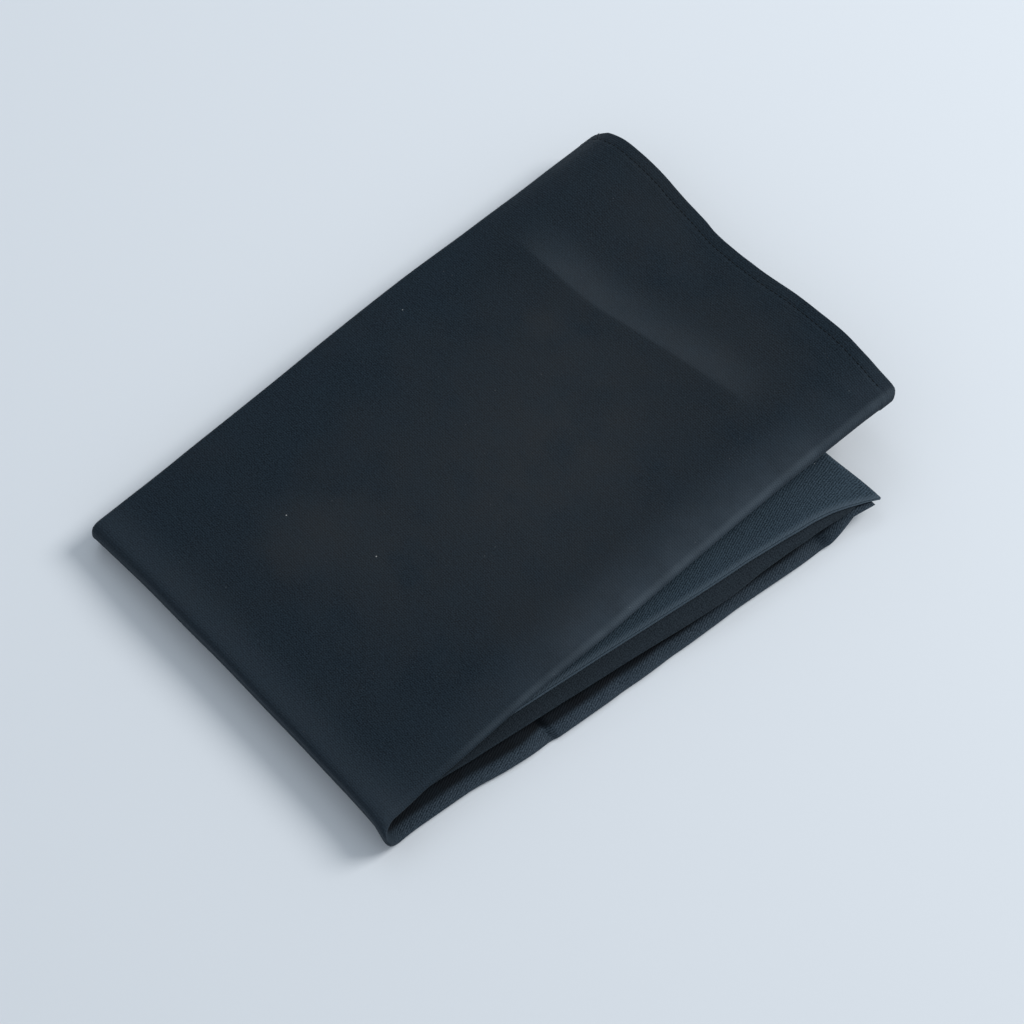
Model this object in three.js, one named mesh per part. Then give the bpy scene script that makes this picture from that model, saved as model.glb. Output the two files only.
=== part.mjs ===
// Film changing bag, folded for storage.
//
// A light-tight bag of two cloth shells (outer and liner, each a back and a front panel cut in one with
// its sleeves), folded in thirds across its width, its sleeves turned back inside, and then folded in
// half along its length.  Lengths are in millimetres, +Z is up, the bag lies on its back panel at z = 0.
//   +X runs along the folded strip, from the half fold (-X) to the zip end (+X).
//   +Y runs across it, toward the edge where the first third was turned over.
//
// Design frame: x = 0, y = 0 is the middle of the half fold's 343 x 229 rectangle; the exported group is
// shifted so that its origin is the bottom centre of the whole bag.
import * as THREE from "three";

// ---- driving dimensions ---------------------------------------------------------------------------
const THIRD = 229; // a third of the 687 mm bag width
const CLOTH = 0.4; // cloth thickness
const PITCH = 0.6; // cloth plus the air under it
const HALF_W = THIRD / 2;
const FOLD_R = 10.6; // outside radius of the half fold
const FOLD_X = -171.5 + FOLD_R; // axis of the half fold
const FOLD_Z = FOLD_R;
const END_X_AB = 180.0; // zip end at +Y
const END_X_DC = 175.0; // zip end at -Y
const RISE_AB = 4.6; // how far the top flap stands up at its free corners
const RISE_DC = 21.0;
const SKEW = -0.092; // the lower flap lies skewed under the top one
const TURN_X = 135.0; // axis of the sleeve fold
const TURN_D = 7.9; // its height above the lower flap's underside
const LIFT_START = 104.0; // the lower flap leaves the table here
const LIFT = 4.0; // and is this high at the sleeve fold
const CUFF_X = -135.0; // sleeves end here
const ELASTIC_X = -66.0; // forearm elastic
const ELASTIC_W = 8.0;
const SEAM_W = 2.6; // bulk of a sewn side seam
const R12 = 2.4; // depth of the fold between middle and first third
const R13 = 3.6; // depth of the fold between middle and last third
const GAP = 0.3;
const OUTER_ZIP = 7.5; // distance of the zip chains from the end edge
const INNER_ZIP = 21.0;
const COIL_W = 4.6;
const COIL_T = 1.0;
const SLIDER_ROOM_OUT = 4.6; // room the layers leave for the sliders
const SLIDER_ROOM_IN = 4.4;
const STITCH_IN = 6.5; // topstitch, from the end edge
const ORIGIN_X = 4.25; // bottom centre of the whole bag, in the design frame
const ORIGIN_Y = -13.6045;

const C = {
  cloth: [0x22272d, 0.86, 0.0],
  liner: [0x17191c, 0.9, 0.0],
  seam: [0x1b1f24, 0.85, 0.0],
  thread: [0x15181b, 0.6, 0.0],
  tape: [0x131517, 0.8, 0.0],
  coil: [0x1a1c1f, 0.45, 0.0],
  metal: [0x2a2b2d, 0.4, 0.8],
  elastic: [0x141618, 0.75, 0.0],
};

// ---- helpers --------------------------------------------------------------------------------------
const clamp = (v, a, b) => Math.min(b, Math.max(a, v));
const smooth = (a, b, v) => {
  const t = clamp((v - a) / (b - a), 0, 1);
  return t * t * (3 - 2 * t);
};

// Height of the top flap's upper face, a ruled surface that rises toward its free end.
const endX = (y) =>
  END_X_AB + ((END_X_DC - END_X_AB) * (HALF_W - y)) / THIRD;
const topZ = (x, y) => {
  const u = clamp((x - FOLD_X) / (178 - FOLD_X), 0, 1.1);
  const v = (HALF_W - y) / THIRD;
  return 2 * FOLD_Z + u * (RISE_AB + (RISE_DC - RISE_AB) * v);
};
// How the layers of the top flap spread near its open end.  Each entry opens one gap between two plies:
//   [depth of the gap, half width of the step, extra room, share of it at each distance of E_GRID]
const E_GRID = [42, 26, 14, 0]; // distances from the end edge
const SPREAD = [
  [2.6, 0.35, SLIDER_ROOM_OUT, [0, 0.6, 1, 1]], // between middle and first third: outer zip's slider
  [3.5, 0.1, SLIDER_ROOM_IN, [0, 1, 1, 0.4]], // first third, over the liner's zip: its slider
  [1.7, 0.1, 1.3, [0, 1, 1, 0.5]], // middle third, over the liner's zip
  [5.9, 0.1, 1.3, [0, 1, 1, 0.5]], // last third, over the liner's zip
  [5.3, 0.1, 1.4, [0, 0.5, 1, 1]], // between first and last third: outer zip's coil
];
const share = (f, e) => {
  if (e >= E_GRID[0]) return f[0];
  for (let i = 1; i < E_GRID.length; i++)
    if (e >= E_GRID[i])
      return (
        f[i] +
        ((f[i - 1] - f[i]) * (e - E_GRID[i])) / (E_GRID[i - 1] - E_GRID[i])
      );
  return f[f.length - 1];
};
const spread = (e, d) => {
  let out = d;
  for (const [c, hw, room, f] of SPREAD)
    out += room * smooth(c - hw, c + hw, d) * share(f, e);
  return out;
};
const lift = (x) => LIFT * smooth(LIFT_START, TURN_X + 10, x);
const LIFT_AT_TURN = lift(TURN_X);
const skewY = (x) => SKEW * (x - FOLD_X);

// Centre line of one ply folded in thirds.  Each point: y, depth d from the outside face, and the
// direction (ny, nd) that points to the outside of the bag's back.
function thirds(w, opt = {}) {
  const { freeA = -103, freeB = 103, parts = "321" } = opt;
  const p = [];
  const y3 = -HALF_W + R13 + CLOTH / 2,
    y2 = HALF_W - R12 - CLOTH / 2;
  const d3 = CLOTH / 2 + 2 * R13 - w,
    d1 = CLOTH / 2 + w,
    d2 = CLOTH / 2 + 2 * R12 - w;
  const line = (ya, yb, d, nd, n) => {
    for (let i = 0; i <= n; i++)
      p.push({ y: ya + ((yb - ya) * i) / n, d, ny: 0, nd, flat: 1 });
  };
  const arc = (yc, r, sign, dc) => {
    for (const deg of [45, 90, 135]) {
      const a = (deg * Math.PI) / 180;
      // sign -1: from deep to shallow on the -Y side; +1: from shallow to deep on the +Y side
      const ny = sign * Math.sin(a),
        nd = sign < 0 ? Math.cos(a) : -Math.cos(a);
      p.push({ y: yc + ny * r, d: dc + nd * r, ny, nd, flat: 0 });
    }
  };
  if (parts.includes("3")) {
    line(freeB, y3 + 6, d3, 1, 2);
    p.push({ y: y3, d: d3, ny: 0, nd: 1, flat: 0 });
    arc(y3, R13 - w, -1, CLOTH / 2 + R13);
    p.push({ y: y3, d: d1, ny: 0, nd: -1, flat: 0 });
  }
  if (parts.includes("1")) line(y3 + 6, y2 - 6, d1, -1, 2);
  if (parts.includes("2")) {
    p.push({ y: y2, d: d1, ny: 0, nd: -1, flat: 0 });
    arc(y2, R12 - w, 1, CLOTH / 2 + R12);
    p.push({ y: y2, d: d2, ny: 0, nd: 1, flat: 0 });
    line(y2 - 6, freeA, d2, 1, 2);
  }
  return p;
}

// Closed outline of a ribbon around a centre line: a list of { y, d, e }, e being thickness added on the
// inside after the layers have been spread.
function ribbon(path, t = CLOTH, extra = 0) {
  const out = [],
    inn = [];
  for (const q of path) {
    out.push({ y: q.y + (q.ny * t) / 2, d: q.d + (q.nd * t) / 2, e: 0 });
    inn.push({
      y: q.y - (q.ny * t) / 2,
      d: q.d - (q.nd * t) / 2,
      e: q.flat ? -q.nd * extra : 0,
    });
  }
  return { outer: out.concat(inn.reverse()), hole: null };
}

// Outline of a flattened tube between depths da and db, with its wall t thick.
function tube(ya, yb, da, db, t, nOver = 3) {
  const side = (o) => {
    const pts = [];
    const a = ya + o,
      b = yb - o,
      lo = da + o,
      hi = db - o,
      m = (lo + hi) / 2,
      k = (hi - lo) / 2;
    for (let i = 0; i <= nOver; i++)
      pts.push({ y: a + k + ((b - a - 2 * k) * i) / nOver, d: lo, e: 0 });
    pts.push({ y: b, d: m, e: 0 });
    for (let i = nOver; i >= 0; i--)
      pts.push({ y: a + k + ((b - a - 2 * k) * i) / nOver, d: hi, e: 0 });
    pts.push({ y: a, d: m, e: 0 });
    return pts;
  };
  return { outer: side(0), hole: side(t) };
}

const box = (ya, yb, da, db) => ({
  outer: [
    { y: ya, d: da, e: 0 },
    { y: yb, d: da, e: 0 },
    { y: yb, d: db, e: 0 },
    { y: ya, d: db, e: 0 },
  ],
  hole: null,
});

const root = new THREE.Group();
const group = new THREE.Group();
root.add(group);

function addMesh(name, geometry, mat) {
  const [color, roughness, metalness] = C[mat];
  const mesh = new THREE.Mesh(
    geometry,
    new THREE.MeshStandardMaterial({ color, roughness, metalness }),
  );
  mesh.name = name;
  group.add(mesh);
  return mesh;
}

// Sweeps a section through a list of stations, and places each point with place(y, d, station, e) -> [x, y, z].
function sweep(name, section, stations, place, mat) {
  const n = stations.length - 1;
  const shape = new THREE.Shape(
    section.outer.map((q) => new THREE.Vector2(q.y, q.d)),
  );
  const extra = new Map();
  const key = (a, b) => a.toFixed(3) + "," + b.toFixed(3);
  for (const q of section.outer) extra.set(key(q.y, q.d), q.e);
  if (section.hole) {
    shape.holes.push(
      new THREE.Path(section.hole.map((q) => new THREE.Vector2(q.y, q.d))),
    );
    for (const q of section.hole) extra.set(key(q.y, q.d), q.e);
  }
  let g = new THREE.ExtrudeGeometry(shape, {
    depth: 1,
    steps: n,
    bevelEnabled: false,
  });
  if (g.index) g = g.toNonIndexed();
  const p = g.getAttribute("position");
  // Split every wall quad along the diagonal that rises with y and with the station, so that the layers
  // stay parallel where the surface twists.  A quad is stored as corners a b d, b c d.
  const walls = g.groups[1];
  for (let i = walls.start; i < walls.start + walls.count; i += 6) {
    const q = [i, i + 1, i + 4, i + 2].map((k) =>
      new THREE.Vector3().fromBufferAttribute(p, k),
    );
    const up = (m, n) => (q[m].x - q[n].x) * (q[m].z - q[n].z) > 0;
    if (up(0, 2) && !up(1, 3)) {
      const order = [0, 1, 2, 0, 2, 3];
      order.forEach((k, j) => p.setXYZ(i + j, q[k].x, q[k].y, q[k].z));
    }
  }
  for (let i = 0; i < p.count; i++) {
    const y = p.getX(i),
      d = p.getY(i),
      s = stations[Math.round(p.getZ(i) * n)];
    const e = extra.get(key(y, d)) ?? 0;
    const [X, Y, Z] = place(y, d, s, e);
    p.setXYZ(i, X, Y, Z);
  }
  // faces out: turn the triangles if the mapping mirrored them
  let v6 = 0;
  const a = new THREE.Vector3(),
    b = new THREE.Vector3(),
    c = new THREE.Vector3();
  for (let i = 0; i < p.count; i += 3) {
    a.fromBufferAttribute(p, i);
    b.fromBufferAttribute(p, i + 1);
    c.fromBufferAttribute(p, i + 2);
    v6 += a.dot(b.cross(c));
  }
  if (v6 < 0)
    for (let i = 0; i < p.count; i += 3) {
      b.fromBufferAttribute(p, i + 1);
      c.fromBufferAttribute(p, i + 2);
      p.setXYZ(i + 1, c.x, c.y, c.z);
      p.setXYZ(i + 2, b.x, b.y, b.z);
    }
  const clean = new THREE.BufferGeometry();
  clean.setAttribute("position", p);
  clean.computeVertexNormals();
  return addMesh(name, clean, mat);
}

// ---- placements -----------------------------------------------------------------------------------
// lower flap, by x
const inBase = (y, d, x) => [x, y + skewY(x), lift(x) + d];
// half fold, by angle from the lower flap round to the top one
const inFold = (y, d, a) => {
  const r = FOLD_R - d;
  return [FOLD_X - r * Math.sin(a), y, FOLD_Z - r * Math.cos(a)];
};
// top flap, by distance from the end edge; a station of null is the half fold itself
const inFlap = (y, d, st, e) => {
  const x = st === null ? FOLD_X + GAP / 2 : endX(y) - st;
  return [x, y, topZ(x, y) - spread(endX(y) - x, d) - e];
};
const flapTo = (e1) => [
  null,
  ...[245, 142, ...E_GRID].filter((e) => e > e1 + 0.5),
  e1,
];
const between = (ea, eb) => [
  ea,
  ...E_GRID.filter((e) => e < ea - 0.5 && e > eb + 0.5),
  eb,
];
const turnStations = (n) =>
  Array.from({ length: n + 1 }, (_, i) => (Math.PI * i) / n);
// sleeves, by x, and their turn at the shoulder, by angle
const sleeveLift = (x) => LIFT_AT_TURN * smooth(-110, 90, x);
const inSleeve = (y, d, x) => {
  const full = smooth(60, TURN_X, x); // the sleeve flares into the bag's shoulder
  const narrow = 0.868 + 0.132 * full - 0.03 * smooth(-40, CUFF_X, x);
  return [
    x,
    y * narrow + skewY(x),
    sleeveLift(x) + 2 * TURN_D - d,
  ];
};
const inTurn = (y, d, a) => {
  const r = TURN_D - d;
  return [
    TURN_X + r * Math.sin(a),
    y + skewY(TURN_X),
    LIFT_AT_TURN + TURN_D - r * Math.cos(a),
  ];
};

// ---- lower flap -----------------------------------------------------------------------------------
const plies = [
  ["outer_back", 0, "cloth"],
  ["liner_back", PITCH, "liner"],
  ["liner_front", 2 * PITCH, "liner"],
  ["outer_front", 3 * PITCH, "cloth"],
];
const BASE_A = FOLD_X + GAP / 2,
  BASE_B = TURN_X - GAP / 2,
  BASE_ST = [BASE_A, -20, LIFT_START, 114, 124, BASE_B];
for (const [n, w, m] of plies) {
  sweep("base_" + n, ribbon(thirds(w)), BASE_ST, inBase, m);
  sweep("half_fold_" + n, ribbon(thirds(w)), turnStations(6), inFold, m);
}
// sewn side seams, at the free edges of the first and last thirds
const SEAM_A = box(-103.3 - SEAM_W, -103.3, 3.0, 4.7);
const SEAM_B = box(103.3, 103.3 + SEAM_W, 5.6, 7.4);
sweep("base_side_seam_a", SEAM_A, BASE_ST, inBase, "seam");
sweep("base_side_seam_b", SEAM_B, BASE_ST, inBase, "seam");
// seam across the bag's shoulder, between the two sleeves
sweep(
  "shoulder_seam",
  box(-104, 106, 0.05, 2.15),
  [TURN_X + 0.15, TURN_X + 2.6],
  inBase,
  "seam",
);

// ---- sleeves --------------------------------------------------------------------------------------
// each is an outer tube with a liner tube inside, an elastic at the wrist and one on the forearm
const SLEEVES = { a: [3.0, 5.2], b: [5.4, 7.6] };
const SY = [-112, 108];
const SLEEVE_ST = [110, 85, 40, -10, -50];
for (const [k, [lo, hi]] of Object.entries(SLEEVES)) {
  const outer = tube(SY[0], SY[1], lo, hi, CLOTH);
  const liner = tube(SY[0] + 0.7, SY[1] - 0.7, lo + 0.6, hi - 0.6, 0.4);
  const X0 = TURN_X - GAP / 2;
  sweep("sleeve_" + k + "_turn_outer", outer, turnStations(5), inTurn, "cloth");
  sweep("sleeve_" + k + "_turn_liner", liner, turnStations(5), inTurn, "liner");
  sweep(
    "sleeve_" + k + "_outer",
    outer,
    [X0, ...SLEEVE_ST, -80, -110, CUFF_X],
    inSleeve,
    "cloth",
  );
  sweep(
    "sleeve_" + k + "_liner",
    liner,
    [X0, ...SLEEVE_ST, ELASTIC_X + ELASTIC_W / 2 + GAP / 2],
    inSleeve,
    "liner",
  );
  sweep(
    "sleeve_" + k + "_forearm_elastic",
    liner,
    [ELASTIC_X + ELASTIC_W / 2 - GAP / 2, ELASTIC_X - ELASTIC_W / 2],
    inSleeve,
    "elastic",
  );
  sweep(
    "sleeve_" + k + "_liner_cuff",
    liner,
    [ELASTIC_X - ELASTIC_W / 2 - GAP, -80, -110, CUFF_X + ELASTIC_W + 1],
    inSleeve,
    "liner",
  );
  sweep(
    "sleeve_" + k + "_wrist_elastic",
    liner,
    [CUFF_X + ELASTIC_W + 1 - GAP, CUFF_X + 0.8],
    inSleeve,
    "elastic",
  );
}

// ---- top flap -------------------------------------------------------------------------------------
const E_TAPE_OUT = OUTER_ZIP + COIL_W / 2 + 6.5; // where the outer front panel meets its zip tape
const E_TAPE_IN = INNER_ZIP + COIL_W / 2 + 6.5;
const E_LINER_END = INNER_ZIP - COIL_W / 2 - 6.5;
sweep("flap_outer_back", ribbon(thirds(0)), flapTo(0), inFlap, "cloth");
sweep("flap_liner_back", ribbon(thirds(PITCH)), flapTo(1.5), inFlap, "liner");
sweep(
  "flap_liner_front",
  ribbon(thirds(2 * PITCH)),
  flapTo(E_TAPE_IN),
  inFlap,
  "liner",
);
sweep(
  "flap_liner_front_end",
  ribbon(thirds(2 * PITCH)),
  between(E_LINER_END - GAP, 1.5),
  inFlap,
  "liner",
);
sweep(
  "flap_outer_front",
  ribbon(thirds(3 * PITCH)),
  flapTo(E_TAPE_OUT),
  inFlap,
  "cloth",
);
sweep("flap_side_seam_a", SEAM_A, flapTo(26), inFlap, "seam");
sweep("flap_side_seam_b", SEAM_B, flapTo(42), inFlap, "seam");

// zips: two tapes and a coil chain in the plane of the panel they close
function zip(prefix, w, e0, endTapeTo) {
  const tapeIn = [e0 + COIL_W / 2 + GAP, e0 + COIL_W / 2 + 6.5 - GAP];
  sweep(
    prefix + "_tape_body",
    ribbon(thirds(w)),
    between(tapeIn[1], tapeIn[0]),
    inFlap,
    "tape",
  );
  sweep(
    prefix + "_tape_end",
    ribbon(thirds(w)),
    between(e0 - COIL_W / 2 - GAP, endTapeTo),
    inFlap,
    "tape",
  );
  sweep(
    prefix + "_coil",
    ribbon(thirds(w, { freeA: -98, freeB: 98 }), CLOTH, COIL_T),
    between(e0 + COIL_W / 2, e0 - COIL_W / 2),
    inFlap,
    "coil",
  );
  const stop = (y0, y1, d, nd) => {
    const a = d - 0.2,
      b = d + 0.2;
    const q = [
      { y: y0, d: a, e: nd > 0 ? -COIL_T : 0 },
      { y: y1, d: a, e: nd > 0 ? -COIL_T : 0 },
      { y: y1, d: b, e: 0 },
      { y: y0, d: b, e: 0 },
    ];
    return { outer: q, hole: null };
  };
  sweep(
    prefix + "_stop_closed",
    stop(-100.4, -98.4, CLOTH / 2 + 2 * R12 - w, 1),
    [e0 + 1.9, e0 - 1.9],
    inFlap,
    "metal",
  );
  sweep(
    prefix + "_stop_open",
    stop(98.4, 100.4, CLOTH / 2 + 2 * R13 - w, 1),
    [e0 + 1.9, e0 - 1.9],
    inFlap,
    "metal",
  );
}
zip("outer_zip", 3 * PITCH, OUTER_ZIP, 0.6);
zip("inner_zip", 2 * PITCH, INNER_ZIP, E_LINER_END);

// light-trap strip behind the outer zip
sweep(
  "zip_baffle",
  ribbon(thirds(2.5 * PITCH, { freeA: -101, freeB: 101 }), 0.1),
  between(16, 5),
  inFlap,
  "cloth",
);
// row of topstitching along the end, standing proud of the cloth on the middle third
{
  const d = -0.35;
  const pts = [];
  for (let i = 0; i <= 4; i++)
    pts.push({ y: -104 + (208 * i) / 4, d, ny: 0, nd: -1, flat: 1 });
  sweep(
    "end_topstitch",
    ribbon(pts, 0.3),
    [STITCH_IN + 0.3, STITCH_IN - 0.3],
    inFlap,
    "thread",
  );
}

// ---- zip sliders ----------------------------------------------------------------------------------
// Each rides on the first third's chain.  The chain line there is straight, inclined by SLOPE to Y.
const SLIDER_Y = -88; // parked at the closed end
function slider(prefix, w, e0) {
  const d = CLOTH / 2 + 2 * R12 - w - CLOTH / 2; // face of the tape that the slider runs on
  const xs = (y) => endX(y) - e0;
  const zs = (y) => topZ(xs(y), y) - spread(e0, d);
  const P = new THREE.Vector3(xs(SLIDER_Y), SLIDER_Y, zs(SLIDER_Y));
  const Q = new THREE.Vector3(xs(90), 90, zs(90));
  const along = Q.clone().sub(P).normalize();
  const at = (e) => {
    const x = endX(0) - e;
    return new THREE.Vector3(x, 0, topZ(x, 0) - spread(e, d));
  };
  const across = at(e0 - 3).sub(at(e0 + 3));
  across.sub(along.clone().multiplyScalar(across.dot(along))).normalize();
  const up = across.clone().cross(along).normalize();
  const m = new THREE.Matrix4()
    .makeBasis(across, along, up)
    .setPosition(P.x, P.y, P.z);
  // saddle: a channel over the coil, its outline narrowed toward the tail
  const s = new THREE.Shape();
  const hw = COIL_W / 2 + 0.55,
    ow = hw + 0.9,
    top = 2.35,
    lo = 0.25,
    roof = 1.45;
  s.moveTo(-ow, lo);
  s.lineTo(-hw, lo);
  s.lineTo(-hw, roof);
  s.lineTo(hw, roof);
  s.lineTo(hw, lo);
  s.lineTo(ow, lo);
  s.lineTo(ow, top - 0.4);
  s.lineTo(ow - 0.4, top);
  s.lineTo(-ow + 0.4, top);
  s.lineTo(-ow, top - 0.4);
  s.closePath();
  const body = new THREE.ExtrudeGeometry(s, {
    depth: 9,
    steps: 3,
    bevelEnabled: false,
  });
  // extruded along local Z: turn it so that it runs along the chain, and taper its tail
  const p = body.getAttribute("position");
  for (let i = 0; i < p.count; i++) {
    const X = p.getX(i),
      Y = p.getY(i),
      Z = p.getZ(i);
    const k = Math.abs(X) > hw - 0.01 && Z > 6 ? 1 - 0.06 * ((Z - 6) / 3) : 1;
    p.setXYZ(i, X * k, 4.5 - Z, Y);
  }
  const clean = new THREE.BufferGeometry();
  clean.setAttribute("position", p);
  clean.applyMatrix4(m);
  clean.computeVertexNormals();
  addMesh(prefix + "_slider", clean, "metal");
  // pull tab: a flat tongue with an eye at its free end, lying on the chain behind the slider
  const t = new THREE.Shape();
  t.moveTo(-1.6, 0);
  t.lineTo(1.6, 0);
  t.lineTo(2.4, 3);
  t.lineTo(2.4, 12);
  t.absarc(0, 12, 2.4, 0, Math.PI, false);
  t.lineTo(-2.4, 3);
  t.closePath();
  const hole = new THREE.Path();
  hole.absellipse(0, 11.6, 1.1, 1.1, 0, Math.PI * 2, true);
  t.holes.push(hole);
  const tab = new THREE.ExtrudeGeometry(t, {
    depth: 0.7,
    bevelEnabled: false,
    curveSegments: 6,
  });
  tab.translate(0, 4.8, 1.75);
  const tc = new THREE.BufferGeometry();
  tc.setAttribute("position", tab.getAttribute("position"));
  tc.applyMatrix4(m);
  tc.computeVertexNormals();
  addMesh(prefix + "_pull", tc, "metal");
  return { P, along, up, across, m };
}
slider("outer_zip", 3 * PITCH, OUTER_ZIP);
slider("inner_zip", 2 * PITCH, INNER_ZIP);

// ---- origin at the bottom centre of the whole bag ---------------------------------------------------
group.position.set(-ORIGIN_X, -ORIGIN_Y, 0);

export default root;
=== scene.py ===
import math

import bpy
import numpy as np
from mathutils import Matrix, Vector


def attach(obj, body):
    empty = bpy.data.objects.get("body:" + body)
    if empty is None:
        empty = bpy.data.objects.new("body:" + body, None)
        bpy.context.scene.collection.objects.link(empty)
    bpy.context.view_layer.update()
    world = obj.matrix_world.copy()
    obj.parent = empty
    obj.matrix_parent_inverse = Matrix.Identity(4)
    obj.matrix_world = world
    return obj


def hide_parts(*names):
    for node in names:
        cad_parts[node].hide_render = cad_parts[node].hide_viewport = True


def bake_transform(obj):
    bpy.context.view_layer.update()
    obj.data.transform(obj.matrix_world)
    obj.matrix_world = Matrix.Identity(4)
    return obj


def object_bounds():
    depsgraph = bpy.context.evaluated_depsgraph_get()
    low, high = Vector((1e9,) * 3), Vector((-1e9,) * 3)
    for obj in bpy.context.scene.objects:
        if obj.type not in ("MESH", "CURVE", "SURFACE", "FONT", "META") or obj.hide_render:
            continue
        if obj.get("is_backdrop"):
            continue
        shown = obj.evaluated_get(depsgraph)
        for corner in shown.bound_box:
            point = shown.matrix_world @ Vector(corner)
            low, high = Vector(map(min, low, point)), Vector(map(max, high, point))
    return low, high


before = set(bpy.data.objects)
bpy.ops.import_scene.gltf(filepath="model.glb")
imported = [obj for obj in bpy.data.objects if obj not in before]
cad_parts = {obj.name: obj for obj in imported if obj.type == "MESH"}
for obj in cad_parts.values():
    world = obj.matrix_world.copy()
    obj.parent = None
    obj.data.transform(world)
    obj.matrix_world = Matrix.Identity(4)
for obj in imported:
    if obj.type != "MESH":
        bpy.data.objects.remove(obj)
cad_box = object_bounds()

# ---- dimensions shared with the CAD part (mm) -------------------------------------------------------
ORIGIN = np.array([4.25, -13.6045, 0.0])
THIRD, HALF_W, CLOTH, PITCH = 229.0, 114.5, 0.4, 0.6
FOLD_R, FOLD_X, FOLD_Z = 10.6, -160.9, 10.6
TURN_X, TURN_D, LIFT_TURN = 135.0, 7.9, 3.402214
CUFF_X, ELASTIC_X, ELASTIC_W = -135.0, -66.0, 8.0
R12, R13 = 2.4, 3.6
OUTER_ZIP, INNER_ZIP, COIL_W, COIL_T = 7.5, 21.0, 4.6, 1.0
STITCH_IN = 6.5
JOIN_X = -150.0  # where the half-fold pieces meet the flaps, on flat cloth
T = 0.4  # visual cloth thickness


def smooth(a, b, v):
    t = np.clip((np.asarray(v, float) - a) / (b - a), 0, 1)
    return t * t * (3 - 2 * t)


def curve(xs, ys):
    """Smooth interpolation (cubic Hermite, limited tangents) through the points, flat outside them."""
    xs, ys = np.array(xs, float), np.array(ys, float)
    d = np.diff(ys) / np.diff(xs)
    m = np.zeros(len(xs))
    for i in range(1, len(xs) - 1):
        if d[i - 1] * d[i] > 0:
            w1 = 2 * (xs[i + 1] - xs[i]) + (xs[i] - xs[i - 1])
            w2 = (xs[i + 1] - xs[i]) + 2 * (xs[i] - xs[i - 1])
            m[i] = (w1 + w2) / (w1 / d[i - 1] + w2 / d[i])

    def f(x):
        x = np.clip(np.asarray(x, float), xs[0], xs[-1])
        i = np.clip(np.searchsorted(xs, x, side="right") - 1, 0, len(xs) - 2)
        h = xs[i + 1] - xs[i]
        t = (x - xs[i]) / h
        return (
            (2 * t**3 - 3 * t**2 + 1) * ys[i]
            + (t**3 - 2 * t**2 + t) * h * m[i]
            + (-2 * t**3 + 3 * t**2) * ys[i + 1]
            + (t**3 - t**2) * h * m[i + 1]
        )

    return f


def waves(x, y, scale, seed):
    """Soft, repeatable unevenness: a sum of sines with fixed directions and phases."""
    out = 0.0
    for k in range(7):
        a = seed * 1.7 + k * 2.399963
        f = (0.6 + 0.27 * k) / scale
        out = out + np.sin(
            2 * math.pi * f * (x * math.cos(a) + y * math.sin(a)) + seed * 3.1 + k * 1.3
        ) / (1.0 + 0.7 * k)
    return out / 2.4


# ---- the folded shape --------------------------------------------------------------------------------
def end_x(y):
    return 180.0 - 5.0 * (HALF_W - y) / THIRD


def run(x):
    """Share of the way to the free end, with a soft start at the half fold."""
    s = np.clip(x - FOLD_X, 0, 400)
    bent = np.where(s < 30, s * s / 60.0, s - 15.0)
    return np.clip(bent / (338.9 - 15.0), 0, 1.1)


def top_z(x, y):
    return 2 * FOLD_Z + run(x) * (4.6 + 16.4 * (HALF_W - y) / THIRD)


E_GRID = [0, 14, 26, 42]
SPREAD = [
    (2.6, 0.35, 4.6, [1, 1, 0.6, 0]),
    (3.5, 0.1, 4.4, [0.4, 1, 1, 0]),
    (1.7, 0.1, 1.3, [0.5, 1, 1, 0]),
    (5.9, 0.1, 1.3, [0.5, 1, 1, 0]),
    (5.3, 0.1, 1.4, [1, 1, 0.5, 0]),
]


def spread(e, d):
    """How much the layers open up round the zips, beyond their own depth."""
    out = np.zeros(np.broadcast(e, d).shape)
    for c, hw, room, f in SPREAD:
        out = out + room * smooth(c - hw, c + hw, d) * np.interp(e, E_GRID, f)
    return out


# drape of the top flap along its two long edges and its free end
droop_ab = curve(
    [-171, -132, -95, -50, -11, 38, 87, 138, 176],
    [3.0, 3.2, 2.4, 2.4, 2.7, 3.9, 3.8, 3.7, 4.6],
)
bow_ab = curve(
    [-160, -130, -95, -50, -11, 38, 87, 138, 165, 180],
    [0.0, 0.0, 0.3, 1.3, 2.5, 3.5, 2.2, 1.2, 1.2, 0.9],
)
end_shift = curve(
    [-112, -101, -89, -71, -50, -35, -11, 10, 22, 31, 43, 57, 71, 83, 95, 106, 114],
    [0.0, 0.3, 1.5, 2.7, 1.4, 0.5, -0.4, -0.4, 0.2, 1.9, 3.1, 3.8, 4.2, 3.7, 3.1, 2.2, 1.0],
)
fold_out = curve(
    [-114.5, -100, -70, -20, 20, 60, 90, 110, 114.5],
    [0.0, -2.6, -3.8, -3.4, -2.7, -1.9, -1.0, 0.2, 0.7],
)
bow_dc = curve(
    [-171.5, -169, -161, -152, -141, -120, -89, -55, -16, 48, 90, 120, 150, 178],
    [0.0, 3.2, 6.0, 6.1, 6.3, 5.8, 6.1, 5.8, 5.0, 4.6, 4.0, 3.0, 1.4, -0.4],
)
end_hump = curve(
    [-114.5, -113, -111, -101, -89, -71, -41, -26, -11, 4, 19, 43, 57, 71, 83, 95, 106, 112, 114.5],
    [-2.5, -1.2, 1.4, 3.6, 4.9, 6.1, 6.0, 4.6, 2.4, 0.2, 0, 0, 0.4, 2.7, 6.0, 8.2, 5.4, 1.2, 0.0],
)
end_dip = curve([-6, 4, 19, 31, 43, 57, 62], [0, -0.6, -1.7, -2.0, -1.7, -0.5, 0])
ridge_x = curve([-60, -49.7, 3, 41.7, 83.7, 100], [114.0, 112.6, 105.8, 99.2, 98.6, 99.5])
ridge_h = curve([-75, -50, -20, 5, 30, 60, 84, 98], [0.0, 2.2, 1.7, 1.6, 2.6, 3.0, 2.6, 0.0])


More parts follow.
